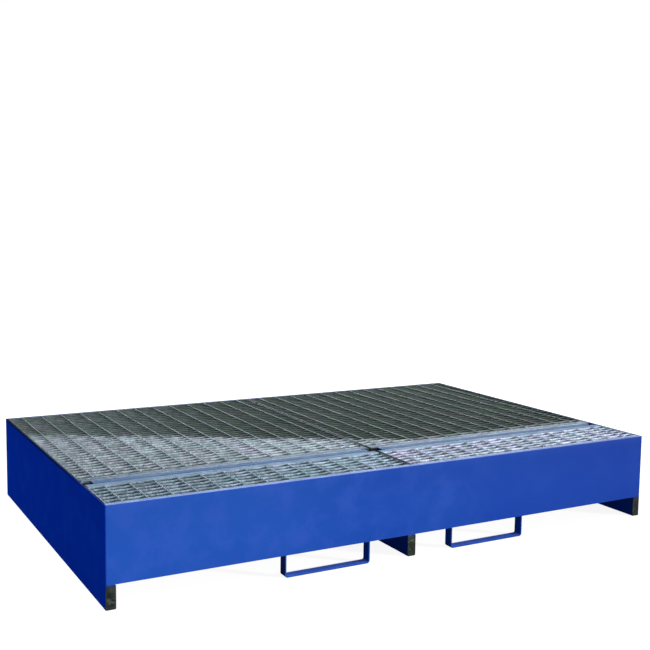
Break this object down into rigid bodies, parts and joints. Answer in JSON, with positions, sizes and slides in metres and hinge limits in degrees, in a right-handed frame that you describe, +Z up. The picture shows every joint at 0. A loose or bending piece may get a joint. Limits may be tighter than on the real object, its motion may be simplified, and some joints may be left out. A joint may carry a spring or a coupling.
{
  "type": "spill containment pallet",
  "caption": "Painted steel spill containment pallet: a shallow sump on feet with fork guide loops underneath, covered by galvanised gratings that lift off.",
  "frame": {"origin": "centre of the pallet's footprint, on the ground", "axes": "+X to the right along the front (long side), +Y from the front (narrow grating row) to the back, +Z up"},
  "size_m": [2.7, 1.73, 0.4],
  "materials": {
    "blue_paint": "semi-gloss blue paint on steel sheet",
    "galvanised_steel": "hot-dip galvanised, dull with light spangle",
    "bare_steel": "unpainted dark olive-grey steel"
  },
  "bodies": {
    "sump": {"centre_beam": "blue_paint", "cover_strip_left": "blue_paint", "cover_strip_right": "blue_paint", "cross_beam_left": "blue_paint", "cross_beam_right": "blue_paint", "cross_beam_seat_left": "blue_paint", "cross_beam_seat_right": "blue_paint", "foot_left": "blue_paint", "foot_left_front_plate": "bare_steel", "foot_left_rear_plate": "bare_steel", "foot_middle": "blue_paint", "foot_middle_front_plate": "bare_steel", "foot_middle_rear_plate": "bare_steel", "foot_right": "blue_paint", "foot_right_front_plate": "bare_steel", "foot_right_rear_plate": "bare_steel", "fork_guide_front_left": "blue_paint", "fork_guide_front_right": "blue_paint", "fork_guide_rear_left": "blue_paint", "fork_guide_rear_right": "blue_paint", "front_ledge_left": "blue_paint", "front_ledge_right": "blue_paint", "front_wall": "blue_paint", "left_ledge_front": "blue_paint", "left_ledge_rear": "blue_paint", "left_wall": "blue_paint", "post_front": "blue_paint", "post_front_base": "blue_paint", "post_front_head": "blue_paint", "post_rear": "blue_paint", "post_rear_base": "blue_paint", "post_rear_head": "blue_paint", "rear_ledge_left": "blue_paint", "rear_ledge_right": "blue_paint", "rear_wall": "blue_paint", "right_ledge_front": "blue_paint", "right_ledge_rear": "blue_paint", "right_wall": "blue_paint", "sump_floor": "blue_paint"},
    "grating_front_left": {"grating_front_left": "galvanised_steel"},
    "grating_front_right": {"grating_front_right": "galvanised_steel"},
    "grating_rear_left": {"grating_rear_left": "galvanised_steel"},
    "grating_rear_right": {"grating_rear_right": "galvanised_steel"}
  },
  "joints": [
    {"name": "lift_grating_front_left", "type": "slide", "parent": "sump", "child": "grating_front_left", "axis": [0, 0, 1], "range_m": [0, 0.15]},
    {"name": "lift_grating_front_right", "type": "slide", "parent": "sump", "child": "grating_front_right", "axis": [0, 0, 1], "range_m": [0, 0.15]},
    {"name": "lift_grating_rear_left", "type": "slide", "parent": "sump", "child": "grating_rear_left", "axis": [0, 0, 1], "range_m": [0, 0.15]},
    {"name": "lift_grating_rear_right", "type": "slide", "parent": "sump", "child": "grating_rear_right", "axis": [0, 0, 1], "range_m": [0, 0.15]}
  ]
}
